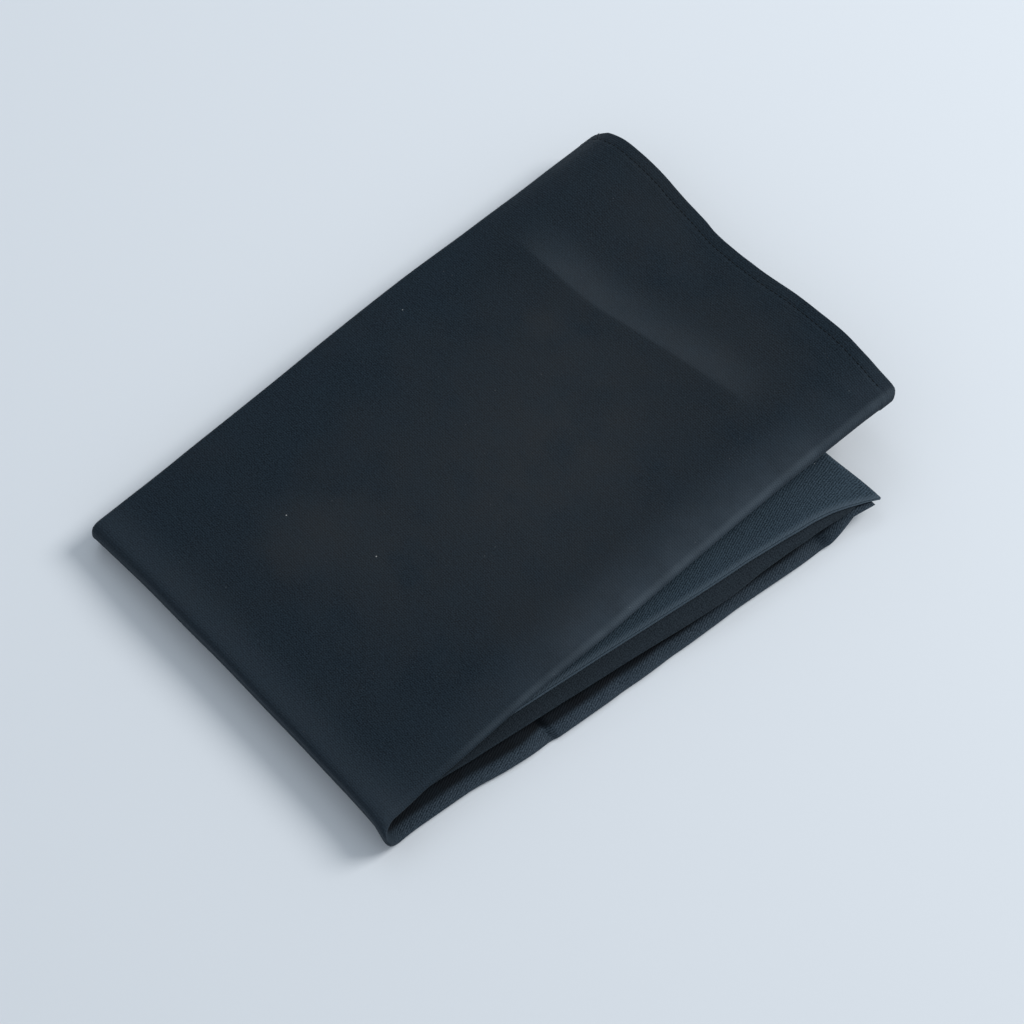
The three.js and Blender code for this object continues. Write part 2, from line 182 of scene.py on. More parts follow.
def crease(x, y, p, q, width, height):
    """A soft raised line from p to q."""
    p, q = np.array(p, float), np.array(q, float)
    d = q - p
    n = np.linalg.norm(d)
    t = ((x - p[0]) * d[0] + (y - p[1]) * d[1]) / n**2
    s = ((x - p[0]) * d[1] - (y - p[1]) * d[0]) / n
    return height * np.exp(-((s / width) ** 2)) * smooth(-0.15, 0.2, t) * smooth(1.15, 0.8, t)


def flap_top(x, y):
    """Extra height of the outermost layers of the top flap."""
    s = x - ridge_x(y)
    left = np.exp(np.minimum(s, 0) / 17.0)
    t = np.clip(s / 24.0, 0, 1)
    right = 1.5 * (1 - t) ** 1.7 - 0.5 * (1 - smooth(24, 60, s))
    z = ridge_h(y) * np.where(s < 0, left, right)
    z = z + 0.55 * waves(x, y, 170.0, 2.0) + 0.16 * waves(x, y, 52.0, 5.0)
    # shallow hollows and swellings of cloth that has been folded and handled
    for cx, cy, rx, ry, h in (
        (-97, 34, 26, 16, 0.55),
        (-8, 22, 60, 34, 0.6),
        (62, -40, 46, 26, -0.7),
        (-70, -62, 52, 26, 0.5),
        (75, 42, 12, 9, 0.35),
        (20, 78, 80, 18, -0.5),
        (150, 8, 20, 40, -0.5),
    ):
        z = z + h * np.exp(-(((x - cx) / rx) ** 2) - ((y - cy) / ry) ** 2)
    # fine creases near the raised corner and near the middle of the long edge
    z = z + crease(x, y, (150, -62), (157, -101), 3.0, 0.34)
    z = z + crease(x, y, (143, -84), (152, -106), 3.4, -0.3)
    z = z + crease(x, y, (163, -40), (160, -88), 3.6, 0.28)
    z = z + crease(x, y, (-60, -74), (-72, -99), 3.2, 0.34)
    z = z + crease(x, y, (-78, -88), (-90, -95), 2.6, -0.22)
    z = z + crease(x, y, (-52, -92), (-46, -104), 2.6, 0.2)
    return z * smooth(-165, -140, x)


def squash(y, g):
    """The plies lie pressed together along the open edge; g is how much of that applies along the length."""
    return 1 - 0.5 * smooth(-82, -109, y) * g


def flap(y, d, e):
    """A point of the top flap: y across, d below its upper face, e from the zip end."""
    y, d, e = np.broadcast_arrays(*(np.asarray(v, float) for v in (y, d, e)))
    x = end_x(y) - e
    cut = 7.5 * (1 - np.sqrt(1 - np.clip((y - (HALF_W - 8.5)) / 8.5, 0, 1) ** 2 * 0.98))
    cut = cut + 4.0 * (1 - np.sqrt(1 - np.clip((-y - (HALF_W - 5.0)) / 5.0, 0, 1) ** 2 * 0.98))
    x = x - cut * smooth(26, 0, e)
    room = smooth(-110, -96, y) * smooth(113.6, 106, y)
    # the front panel and the zips stay straight where the back panel lifts away from them
    calm = smooth(0.85, 1.35, d) * room
    # the zip end itself is not quite a straight line
    x = x + (end_shift(y) + 0.25 * np.sin(y / 9.5)) * smooth(70, 0, e) * smooth(3.4, 2.0, d) * (1 - calm)
    top = 1 - smooth(2.2, 4.8, d) * room  # 1 where the layer belongs to the upper, waving face
    z = top_z(x, y) - d * squash(y, smooth(0, -90, x)) - room * spread(e, d)
    drop = droop_ab(x) * smooth(58, HALF_W, y) * smooth(-14, 2, z - 6.0)
    rise = end_hump(y) * smooth(128, 0, e) + end_dip(y) * smooth(40, 4, e) + flap_top(x, y)
    calm = calm * smooth(60, 34, e)
    upper = (rise - drop) * (1 - calm) + np.minimum(rise - drop, 0) * calm
    z = z + upper * top - drop * (1 - top)
    roll = np.clip((-72 - y) / 42.5, 0, 1)
    z = z - 2.3 * roll**2 * smooth(-168, -130, x) * smooth(172, 120, x)
    near = smooth(-52, -HALF_W, y)
    yy = y + bow_dc(x) * near + bow_ab(x) * smooth(60, 112, y)
    yy = yy + 0.42 * d * smooth(-84, -112, y) * smooth(-164, -130, x)
    # the turned hem pulls into small puckers along its stitching
    hem = np.exp(-(((e - STITCH_IN) / 4.2) ** 2)) * smooth(1.2, 0.4, d)
    z = z + hem * 0.16 * (np.sin(y / 1.35 + 2.2 * np.sin(y / 17.0)) + 0.6 * np.sin(y / 3.1))
    return np.stack([x, yy, z], -1)


edge_base = curve(
    [-171.5, -150, -122, -98, -71, -45, 34, 45, 106, 143],
    [0.0, 0.9, 0.8, -1.5, -2.6, -2.6, -1.4, -1.0, -1.9, -2.1],
)


def lift(x):
    return 4.0 * smooth(104.0, 145.0, x)


def skew(x):
    return -0.092 * (x - FOLD_X)


DENT_X, KNEE_X = -72.5, 101.0


def dent(x):
    a = np.where(
        x < DENT_X, np.exp(-(((x - DENT_X) / 9.0) ** 2)), np.exp(-(((x - DENT_X) / 2.2) ** 2))
    )
    b = np.where(
        x < KNEE_X, np.exp(-(((x - KNEE_X) / 11.0) ** 2)), np.exp(-(((x - KNEE_X) / 3.0) ** 2))
    )
    c = 0.35 * np.exp(-(((x - 2.0) / 7.0) ** 2)) + 0.3 * np.exp(-(((x + 28.0) / 6.0) ** 2))
    return a + 0.9 * b + c


def pinch(p):
    """The lower flap and the sleeve turn are pinched together toward the front shoulder corner."""
    x, y, z = p[..., 0], p[..., 1], p[..., 2]
    k = 0.56 * smooth(96, 141, x) * smooth(-92, -139, y)
    k = k + 0.22 * smooth(112, 141, x) * smooth(-118, -139, y)
    y = y + 6.0 * smooth(102, 138, x) * smooth(-120, -138, y) * smooth(10.5, 6.0, z)
    z = z + k * (9.9 - z)
    x = x - 3.2 * smooth(-139, -100, y) * smooth(95, 140, x)
    return np.stack([x, y, z], -1)


def base(y, d, x):
    """A point of the lower flap: y across, d above its underside."""
    y, d, x = np.broadcast_arrays(*(np.asarray(v, float) for v in (y, d, x)))
    near = smooth(-60, -HALF_W, y)
    back = smooth(126, 92, x)
    up = smooth(1.2, 7.0, d)
    dd = d * squash(y, back)
    yy = y + skew(x) + edge_base(x) * near
    # a kink where the folded edge has been bent
    k = dent(x) * smooth(-88, -110, y)
    yy = yy + 3.0 * k * (0.12 + 0.88 * up)
    dd = dd * (1 - 0.45 * k * up)
    slack = up * (0.35 * waves(x, y, 95.0, 9.0) + 0.12 * waves(x, y, 31.0, 4.0))
    slack = slack * smooth(-160, -130, x) * smooth(130, 100, x)
    return pinch(np.stack([x, yy, lift(x) + dd + np.minimum(slack, 0.35)], -1))


def fold(y, d, a):
    """A point of the half fold: a runs from 0 underneath to pi on top; beyond that, millimetres along."""
    y, d, a = np.broadcast_arrays(*(np.asarray(v, float) for v in (y, d, a)))
    r = FOLD_R - d * squash(y, 1.0)
    ang = np.clip(a, 0, math.pi)
    # the cloth is pressed flat, so its upper bend is tighter than a half circle
    n = np.where(ang > math.pi / 2, 2.0 + 2.2 * smooth(0, 0.6, ang - math.pi / 2), 2.0)
    s_, c_ = np.abs(np.sin(ang)), np.abs(np.cos(ang))
    rr = r * (s_**n + c_**n) ** (-1.0 / n)
    x = FOLD_X - rr * np.sin(ang)
    z = FOLD_Z - rr * np.cos(ang)
    high = smooth(7.8, 13.4, z)
    near = smooth(-52, -HALF_W, y)
    z = z - droop_ab(x) * smooth(58, HALF_W, y) * smooth(7.8, 13.4, z)
    ripple = 0.35 * np.sin(y / 23.0 + 1.0) + 0.25 * np.sin(y / 9.0)
    x = x + (ripple * 0.5 - fold_out(y)) * np.sin(ang) ** 2
    mid = np.stack(
        [x, y + bow_dc(x) * near * high + edge_base(x) * near * (1 - high), z], -1
    )
    under = base(y, d, FOLD_X + np.clip(-a, 0, None))
    xt = FOLD_X + np.clip(a - math.pi, 0, None)
    above = flap(y, d, end_x(y) - xt)
    out = np.where((a < 0)[..., None], under, mid)
    return np.where((a > math.pi)[..., None], above, out)


edge_sleeve = {
    "a": curve(
        [-136, -110, -84, -60, -40, -10, 16, 42, 66, 90, 105, 115, 122, 128, 133, 139],
        [-2.3, -1.7, -0.7, -0.5, -1.0, -2.4, -3.7, -4.9, -5.4, -2.1, 1.2, 2.4, 2.1, 1.1, -0.1, -2.3],
    ),
    "b": curve(
        [-136, -110, -84, -60, -40, -10, 16, 42, 66, 90, 105, 115, 122, 128, 133, 139],
        [-7.9, -8.7, -8.7, -8.8, -9.6, -11.3, -13.2, -14.2, -12.8, -7.8, -3.4, -1.2, 0.4, 1.8, 2.4, 2.2],
    ),
}


def sleeve(k):
    """Point function of one sleeve.  Its station s is negative round the turn (mm of turn), then x runs down."""

    def place(y, d, s):
        y, d, s = np.broadcast_arrays(*(np.asarray(v, float) for v in (y, d, s)))
        # s in 0..pi: the turn; s > pi: distance along the sleeve from the turn
        ang = np.clip(s, 0, math.pi)
        x = TURN_X - np.clip(s - math.pi, 0, None)
        near = smooth(-50, -108, y)
        full = smooth(60, TURN_X, x)
        gather = smooth(-104, CUFF_X, x)
        narrow = 0.868 + 0.132 * full - 0.03 * smooth(-40, CUFF_X, x)
        r = TURN_D - d
        xt = TURN_X + r * np.sin(ang)
        zt = LIFT_TURN + TURN_D - r * np.cos(ang)
        turning = s < math.pi
        lifted = LIFT_TURN * smooth(-110, 90, x)
        X = np.where(turning, xt, x)
        Y = y * narrow + skew(np.where(turning, TURN_X, x)) + edge_sleeve[k](X) * near
        Z = np.where(turning, zt, lifted + 2 * TURN_D - d)
        # gathers at the elastics; slow unevenness elsewhere
        puck = 0.36 * np.sin(y / 1.9 + 1.5 * np.sin(y / 13.0)) * gather
        puck = puck + 0.26 * np.sin(y / 1.7 + 2.0 * np.sin(y / 17.0) + 1.0) * np.exp(
            -(((x - ELASTIC_X) / 9.0) ** 2)
        )
        calm = smooth(-112, -104, y) * smooth(108, 100, y)
        loose = 0.32 * waves(x, Y, 120.0, 7.0) * (1 - full) * smooth(6.5, 3.5, d)
        Z = Z + np.where(turning, 0, puck * calm + np.clip(loose, -0.3, 0.5))
        return pinch(np.stack([X, Y, Z], -1))

    return place


def thin(place, y, d, s, t=T):
    """Cloth thickness, less wherever the plies are pressed closer together."""
    h = 0.15
    a, b = place(y, d - h, s), place(y, d + h, s)
    room = np.abs(a - b)[..., 2] / (2 * h)
    return np.clip(t * np.minimum(1.0, 1.15 * room), 0.07, t)


# ---- sections ----------------------------------------------------------------------------------------
def thirds(w, free_a=-103.0, free_b=103.0, step=(6.0, 2.6, 6.0), arc_n=9):
    """Centre line of one layer folded in thirds: y, depth d, and length along the cloth, from the last third's
    free edge round to the first third's."""
    y3, y2 = -HALF_W + R13 + CLOTH / 2, HALF_W - R12 - CLOTH / 2
    d3, d1, d2 = CLOTH / 2 + 2 * R13 - w, CLOTH / 2 + w, CLOTH / 2 + 2 * R12 - w
    pts = []

    def line(ya, yb, d, h):
        n = max(2, int(round(abs(yb - ya) / h)))
        for i in range(n + 1):
            pts.append((ya + (yb - ya) * i / n, d))

    def arc(yc, r, sign, dc):
        for i in range(1, arc_n):
            a = math.pi * i / arc_n
            nd = math.cos(a) if sign < 0 else -math.cos(a)
            pts.append((yc + sign * math.sin(a) * r, dc + nd * r))

    line(free_b, y3, d3, step[0])
    arc(y3, R13 - w, -1, CLOTH / 2 + R13)
    line(y3, y2, d1, step[1])
    arc(y2, R12 - w, 1, CLOTH / 2 + R12)
    line(y2, free_a, d2, step[2])
    p = np.array(pts)
    keep = np.r_[True, np.linalg.norm(np.diff(p, axis=0), axis=1) > 1e-6]
    p = p[keep]
    s = np.r_[0, np.cumsum(np.linalg.norm(np.diff(p, axis=0), axis=1))]
    return p[:, 0], p[:, 1], s


def tube(ya, yb, lo, hi, inset=0.0, step=3.4, arc_n=7):
    """Closed centre line of a flattened sleeve."""
    a, b, lo, hi = ya + inset, yb - inset, lo + inset, hi - inset
    m, k = (lo + hi) / 2, (hi - lo) / 2
    n = int(round((b - a - 2 * k) / step))
    pts = [(a + k + (b - a - 2 * k) * i / n, lo) for i in range(n + 1)]
    pts += [(b - k + k * math.sin(math.pi * i / arc_n), m - k * math.cos(math.pi * i / arc_n)) for i in range(1, arc_n)]
    pts += [(b - k - (b - a - 2 * k) * i / n, hi) for i in range(n + 1)]
    pts += [(a + k - k * math.sin(math.pi * i / arc_n), m + k * math.cos(math.pi * i / arc_n)) for i in range(1, arc_n)]
    p = np.array(pts)
    s = np.r_[0, np.cumsum(np.linalg.norm(np.diff(p, axis=0), axis=1))]
    return p[:, 0], p[:, 1], s


# ---- mesh building -----------------------------------------------------------------------------------
def to_row(p):
    return (np.asarray(p) - ORIGIN) * 0.001


def mesh_object(name, verts, faces, flat=None, smooth_angle=50.0):
    me = bpy.data.meshes.new(name)
    me.from_pydata(np.asarray(verts).tolist(), [], faces)
    me.validate()
    if flat is not None:
        at = me.attributes.new("flat", "FLOAT_VECTOR", "POINT")
        at.data.foreach_set("vector", np.asarray(flat, np.float32).ravel())
    me.shade_smooth()
    me.set_sharp_from_angle(angle=math.radians(smooth_angle))
    me.update()
    ob = bpy.data.objects.new(name, me)
    bpy.context.scene.collection.objects.link(ob)
    return ob


def shell(name, centre, u, v, thick=T, closed=False, round_end=False):
    """A closed thin shell on a grid of centre points [station, section].  u and v are the lengths along the flat
    cloth across and along; closed joins the section's two ends."""
    n, m, _ = centre.shape
    if closed:
        ext = np.concatenate([centre[:, -1:], centre, centre[:, :1]], 1)
        du = (ext[:, 2:] - ext[:, :-2])
    else:
        du = np.gradient(centre, axis=1)
    dv = np.gradient(centre, axis=0)
    nor = np.cross(du, dv)
    nor /= np.maximum(np.linalg.norm(nor, axis=-1, keepdims=True), 1e-9)
    th = np.broadcast_to(np.asarray(thick, float), (n, m))[..., None]
    a = centre + nor * th / 2
    b = centre - nor * th / 2
    va, vb = a.reshape(-1, 3), b.reshape(-1, 3)
    verts = [va, vb]
    uu = np.broadcast_to(np.asarray(u)[None, :], (n, m)).ravel()
    vv = np.broadcast_to(np.asarray(v)[:, None], (n, m)).ravel()
    flat = np.stack([uu, vv, np.zeros_like(uu)], -1) * 0.001
    flats = [flat, flat]
    N = n * m
    ids = np.arange(N).reshape(n, m)
    mm = m if closed else m - 1
    nxt = (np.arange(m) + 1) % m
    q = []
    for i in range(n - 1):
        j = np.arange(mm)
        q.append(np.stack([ids[i, j], ids[i, nxt[j]], ids[i + 1, nxt[j]], ids[i + 1, j]], 1))
    q = np.concatenate(q)
    faces = [q, q[:, ::-1] + N]
    for row, flip in ((0, False), (n - 1, True)):
        j = np.arange(mm)
        f = np.stack([ids[row, j], ids[row, j] + N, ids[row, nxt[j]] + N, ids[row, nxt[j]]], 1)
        faces.append(f[:, ::-1] if flip else f)
    if not closed:
        for col, flip in ((0, True), (m - 1, False)):
            i = np.arange(n - 1)
            f = np.stack([ids[i, col], ids[i, col] + N, ids[i + 1, col] + N, ids[i + 1, col]], 1)
            faces.append(f[:, ::-1] if flip else f)
    verts = np.concatenate(verts)
    F = np.concatenate(faces)
    # outward faces: the signed volume must be positive
    t1 = verts[F]
    vol = np.einsum("ij,ij->i", t1[:, 0], np.cross(t1[:, 1], t1[:, 2])) + np.einsum(
        "ij,ij->i", t1[:, 0], np.cross(t1[:, 2], t1[:, 3])
    )
    if vol.sum() < 0:
        F = F[:, ::-1]
    return mesh_object(name, to_row(verts), F.tolist(), np.concatenate(flats))


# stations along each part
def steps(a, b, h):
    n = max(1, int(round(abs(b - a) / h)))
    return list(np.linspace(a, b, n + 1))


# ---- materials ---------------------------------------------------------------------------------------
def node_tree(name):
    m = bpy.data.materials.new(name)
    m.use_nodes = True
    nt = m.node_tree
    nt.nodes.clear()
    out = nt.nodes.new("ShaderNodeOutputMaterial")
    bsdf = nt.nodes.new("ShaderNodeBsdfPrincipled")
    nt.links.new(bsdf.outputs[0], out.inputs[0])
    return m, nt, bsdf


class G:
    """Small helper for writing node graphs."""

    def __init__(self, nt):
        self.nt = nt

    def _set(self, sock, v):
        if isinstance(v, bpy.types.NodeSocket):
            self.nt.links.new(v, sock)
        else:
            sock.default_value = v

    def math(self, op, a, b=0.0, c=None, clamp=False):
        n = self.nt.nodes.new("ShaderNodeMath")
        n.operation = op
        n.use_clamp = clamp
        self._set(n.inputs[0], a)
        self._set(n.inputs[1], b)
        if c is not None:
            self._set(n.inputs[2], c)
        return n.outputs[0]

    def attr(self, name="flat"):
        n = self.nt.nodes.new("ShaderNodeAttribute")
        n.attribute_type = "GEOMETRY"
        n.attribute_name = name
        return n.outputs["Vector"]

    def obj(self):
        return self.nt.nodes.new("ShaderNodeTexCoord").outputs["Object"]

    def sep(self, v):
        n = self.nt.nodes.new("ShaderNodeSeparateXYZ")
        self._set(n.inputs[0], v)
        return n.outputs

    def comb(self, x, y, z=0.0):
        n = self.nt.nodes.new("ShaderNodeCombineXYZ")
        self._set(n.inputs[0], x)
        self._set(n.inputs[1], y)
        self._set(n.inputs[2], z)
        return n.outputs[0]

    def noise(self, vec, scale, detail=2.0, rough=0.5):
        n = self.nt.nodes.new("ShaderNodeTexNoise")
        self._set(n.inputs["Vector"], vec)
        n.inputs["Scale"].default_value = scale
        n.inputs["Detail"].default_value = detail
        n.inputs["Roughness"].default_value = rough
        return n.outputs[0]

    def voronoi(self, vec, scale):
        n = self.nt.nodes.new("ShaderNodeTexVoronoi")
        self._set(n.inputs["Vector"], vec)
        n.inputs["Scale"].default_value = scale
        return n.outputs["Distance"], n.outputs["Color"]

    def ramp(self, v, lo, hi, a=0.0, b=1.0):
        n = self.nt.nodes.new("ShaderNodeMapRange")
        n.interpolation_type = "SMOOTHSTEP"
        self._set(n.inputs[0], v)
        for k, x in zip((1, 2, 3, 4), (lo, hi, a, b)):
            n.inputs[k].default_value = x
        return n.outputs[0]

    def mix(self, f, a, b, mode="MIX"):
        n = self.nt.nodes.new("ShaderNodeMix")
        n.data_type = "RGBA"
        n.blend_type = mode
        self._set(n.inputs[0], f)
        self._set(n.inputs[6], a)
        self._set(n.inputs[7], b)
        return n.outputs[2]

    def bump(self, height, dist, strength=1.0, normal=None):
        n = self.nt.nodes.new("ShaderNodeBump")
        n.inputs["Strength"].default_value = strength
        n.inputs["Distance"].default_value = dist
        self._set(n.inputs["Height"], height)
        if normal is not None:
            self._set(n.inputs["Normal"], normal)
        return n.outputs[0]


TAU = 2 * math.pi


def weave_look(g, vec, x, y, dark, light, rib, ribs, cross, twill, flip):
    """Colour and height of a close weave: ribs across the bag, a cross thread, a diagonal, uneven yarns, grain."""
    wob = g.noise(vec, 90.0, 2.0)
    wob = g.math("MULTIPLY", g.math("SUBTRACT", wob, 0.5), 0.0011)
    yy = g.math("ADD", y, wob)
    xx = g.math("ADD", x, wob)
    a = g.math("SINE", g.math("MULTIPLY", yy, 1000.0 / rib * TAU))
    b = g.math("SINE", g.math("MULTIPLY", xx, 1000.0 / (rib * 1.12) * TAU))
    diag = g.math(
        "SINE",
        g.math("ADD", g.math("MULTIPLY", yy, 0.42 * 1000 * TAU), g.math("MULTIPLY", xx, flip * 0.768 * 1000 * TAU)),
    )
    weave = g.math("ADD", g.math("MULTIPLY", a, 0.5 * ribs), g.math("MULTIPLY", g.math("MULTIPLY", a, b), cross))
    weave = g.math("ADD", weave, g.math("MULTIPLY", diag, 0.5 * twill))
    yarn = g.noise(g.comb(g.math("MULTIPLY", x, 0.25), y), 900.0, 2.0)
    grain = g.noise(vec, 1150.0, 2.0, 0.6)
    w = g.math("ADD", g.math("MULTIPLY", weave, 0.5), 0.5)
    w = g.math("ADD", w, g.math("MULTIPLY", g.math("SUBTRACT", yarn, 0.5), 0.6))
    w = g.math("ADD", w, g.math("MULTIPLY", g.math("SUBTRACT", grain, 0.5), 3.1), clamp=True)
    h = g.math("ADD", weave, g.math("MULTIPLY", g.math("SUBTRACT", yarn, 0.5), 0.8))
    return g.mix(w, (*dark, 1), (*light, 1)), h


def cloth_material(
    name, dark, light, warm, under=None, rim=None, rib=1.13, ribs=1.0, cross=0.4, twill=0.5, flip=1.0,
    patchy=0.35, sheen=0.05, rough=0.7, spec=0.10, specks=True, bump=0.00010,
):
    """Close-woven synthetic cloth, with the marks of handling and with painted light and shade.  under is the lighter
    look of the lower flap, which takes over past the half fold and carries painted light on its exposed band; rim is
    the place across a sleeve where its pressed edge is rubbed and given a painted highlight."""
    m, nt, bsdf = node_tree(name)
    g = G(nt)
    x, y, away = g.sep(g.attr())
    vec = g.comb(x, y)
    col, h = weave_look(g, vec, x, y, dark, light, rib, ribs, cross, twill, flip)
    big = g.noise(vec, 9.0, 4.0, 0.55)
    patch = g.ramp(big, 0.46, 0.72)
    col = g.mix(g.math("MULTIPLY", patch, patchy), col, (*warm, 1))
    if under:
        # painted light: the lower flap is the same cloth in lighter colours, standing in for the light on its exposed
        # band
        col2, h2 = weave_look(g, vec, x, y, under[0], under[1], rib, 0.2, 0.3, 1.1, -1.0)
        f = g.ramp(y, -0.004, 0.016, 1.0, 0.0)
        col = g.mix(f, col, col2)
        h = g.math("ADD", g.math("MULTIPLY", h, g.math("SUBTRACT", 1.0, f)), g.math("MULTIPLY", h2, f))
        # the long folded edge is painted paler: mostly painted light where the edge turns toward the key light, partly
        # rubbing
        worn = g.noise(vec, 26.0, 6.0, 0.65)
        uneven = g.ramp(worn, 0.30, 0.66, 0.45, 1.0)
        edge = g.math("ADD", x, g.math("MULTIPLY", g.math("SUBTRACT", worn, 0.5), 0.020))
        rub = g.math("MULTIPLY", g.ramp(edge, 0.2235, 0.262, 1.0, 0.0), g.ramp(x, 0.211, 0.2225, 0.0, 1.0))
        along = g.math("MULTIPLY", g.ramp(y, 0.07, 0.20, 0.15, 1.0), g.ramp(y, 0.28, 0.36, 1.0, 0.35))
        along = g.math("MAXIMUM", along, g.ramp(y, -0.05, -0.02, 0.55, 0.0))
        rub = g.math("MULTIPLY", g.math("MULTIPLY", rub, along), uneven)
        col = g.mix(g.math("MULTIPLY", rub, 0.74), col, (*PALE_RUB_AND_HIGHLIGHT, 1))
        # painted highlight: a thin bright line where the fold itself is, for the lit rim
        line = g.math("MULTIPLY", g.ramp(x, 0.2215, 0.2238, 0.0, 1.0), g.ramp(x, 0.2245, 0.2275, 1.0, 0.0))
        line = g.math("MULTIPLY", line, g.ramp(y, 0.05, 0.13, 0.10, 1.0))
        col = g.mix(g.math("MULTIPLY", g.math("MULTIPLY", line, uneven), 0.42), col, (0.075, 0.098, 0.120, 1))
        # painted shade: cloth covered by the sleeves and inside the half fold is darkened, for the shadow in the gap
        # under the sleeve edges and in the fold's mouth
        painted_shade_hidden = g.math("MULTIPLY", g.ramp(x, 0.2090, 0.2128, 1.0, 0.0), g.ramp(y, 0.012, 0.026, 1.0, 0.0))
        col = g.mix(g.math("MULTIPLY", painted_shade_hidden, 0.92), col, (0.0006, 0.0016, 0.0030, 1))
        # painted highlight: the half fold is made paler, standing in for light on its rounded side
        rub = g.math("MULTIPLY", g.ramp(y, 0.004, 0.016, 0.0, 1.0), g.ramp(y, 0.030, 0.052, 1.0, 0.0))
        col = g.mix(g.math("MULTIPLY", rub, 0.20), col, (*PALE_RUB_AND_HIGHLIGHT, 1))
        # the ridge is paler on the side facing the zip end: partly a rubbed crest, partly a painted highlight on the
        # facet facing the key light
        on = g.math("MULTIPLY", g.ramp(away, 0.9990, 1.0012, 0.0, 1.0), g.ramp(away, 1.002, 1.030, 1.0, 0.0))
        on = g.math("MULTIPLY", on, g.ramp(x, 0.262, 0.302, 0.0, 1.0))
        on = g.math("MULTIPLY", on, g.ramp(x, 0.395, 0.428, 1.0, 0.0))
        on = g.math("MULTIPLY", on, uneven)
        col = g.mix(g.math("MULTIPLY", on, 0.36), col, (*PALE_RUB_AND_HIGHLIGHT, 1))
        # dust on the middle of the flap
        for cu, cv, ru, rv, amt in (
            (0.322, 0.220, 0.092, 0.150, 0.52),
            (0.372, 0.096, 0.024, 0.028, 0.44),
            (0.340, 0.118, 0.034, 0.030, 0.26),
            (0.378, 0.268, 0.014, 0.012, 0.28),
            (0.290, 0.330, 0.045, 0.040, 0.26),
            (0.400, 0.300, 0.050, 0.060, 0.18),
        ):
            dx = g.math("DIVIDE", g.math("SUBTRACT", x, cu), ru)
            dy = g.math("DIVIDE", g.math("SUBTRACT", y, cv), rv)
            dd = g.math("SQRT", g.math("ADD", g.math("MULTIPLY", dx, dx), g.math("MULTIPLY", dy, dy)))
            dd = g.math("ADD", dd, g.math("MULTIPLY", g.math("SUBTRACT", worn, 0.5), 1.8))
            on = g.math("MULTIPLY", g.ramp(dd, 0.1, 1.3, 1.0, 0.0), uneven)
            col = g.mix(g.math("MULTIPLY", on, amt), col, (*DUST, 1))
    if rim:
        # the sleeve's pressed front edge is painted paler: rubbing, and a painted highlight where its rounded edge
        # faces the light
        rub = g.math("MAXIMUM", g.ramp(x, 0.0, 0.0045, 1.0, 0.0), g.ramp(x, rim - 0.004, rim - 0.001, 0.0, 1.0))
        col = g.mix(g.math("MULTIPLY", rub, 0.50), col, (0.085, 0.115, 0.145, 1))
    mott = g.noise(vec, 60.0, 3.0, 0.6)
    col = g.mix(g.math("MULTIPLY", g.ramp(mott, 0.35, 0.75), 0.20), col, (*light, 1))
    rgh = g.math("ADD", rough - 0.05, g.math("MULTIPLY", mott, 0.12))
    if specks:
        for scale, share, lo, hi, amt, tint in (
            (62.0, 0.90, 0.012, 0.030, 0.75, (0.42, 0.43, 0.43, 1)),
            (210.0, 0.93, 0.03, 0.075, 0.30, (0.20, 0.21, 0.22, 1)),
            (420.0, 0.90, 0.05, 0.14, 0.16, (0.16, 0.17, 0.18, 1)),
        ):
            dist, rnd = g.voronoi(vec, scale)
            r, _, _ = g.sep(rnd)
            on = g.math("GREATER_THAN", r, share)
            near = g.ramp(dist, lo, hi, 1.0, 0.0)
            col = g.mix(g.math("MULTIPLY", g.math("MULTIPLY", on, near), amt), col, tint)
    nt.links.new(col, bsdf.inputs["Base Color"])
    nt.links.new(rgh, bsdf.inputs["Roughness"])
    n1 = g.bump(h, bump, 1.0)
    n2 = g.bump(g.noise(vec, 240.0, 3.0), 0.00022, 0.5, n1)
    nt.links.new(n2, bsdf.inputs["Normal"])
    bsdf.inputs["Specular IOR Level"].default_value = spec
    bsdf.inputs["Sheen Weight"].default_value = sheen
    bsdf.inputs["Sheen Roughness"].default_value = 0.45
    bsdf.inputs["Sheen Tint"].default_value = (0.72, 0.86, 1.0, 1)
    return m


def thread_material(name, dark, light, pitch=0.5, slant=0.6, rough=0.6, sheen=0.15, vec="flat"):
    """Twisted sewing thread or a ribbed tape: fine slanted strands."""
    m, nt, bsdf = node_tree(name)
    g = G(nt)
    v = g.attr() if vec == "flat" else g.obj()
    x, y, z = g.sep(v)
    s = g.math("ADD", g.math("MULTIPLY", y, 1000.0 / pitch * TAU), g.math("MULTIPLY", x, 1000.0 * slant / pitch * TAU))
    st = g.math("ADD", g.math("MULTIPLY", g.math("SINE", s), 0.5), 0.5)
    nz = g.noise(v, 700.0, 3.0)
    f = g.math("ADD", g.math("MULTIPLY", st, 0.7), g.math("MULTIPLY", nz, 0.4), clamp=True)
    nt.links.new(g.mix(f, (*dark, 1), (*light, 1)), bsdf.inputs["Base Color"])
    nt.links.new(g.math("ADD", rough - 0.08, g.math("MULTIPLY", nz, 0.16)), bsdf.inputs["Roughness"])
    nt.links.new(g.bump(g.math("ADD", st, nz), 0.00008), bsdf.inputs["Normal"])
    bsdf.inputs["Sheen Weight"].default_value = sheen
    bsdf.inputs["Specular IOR Level"].default_value = 0.12
    return m


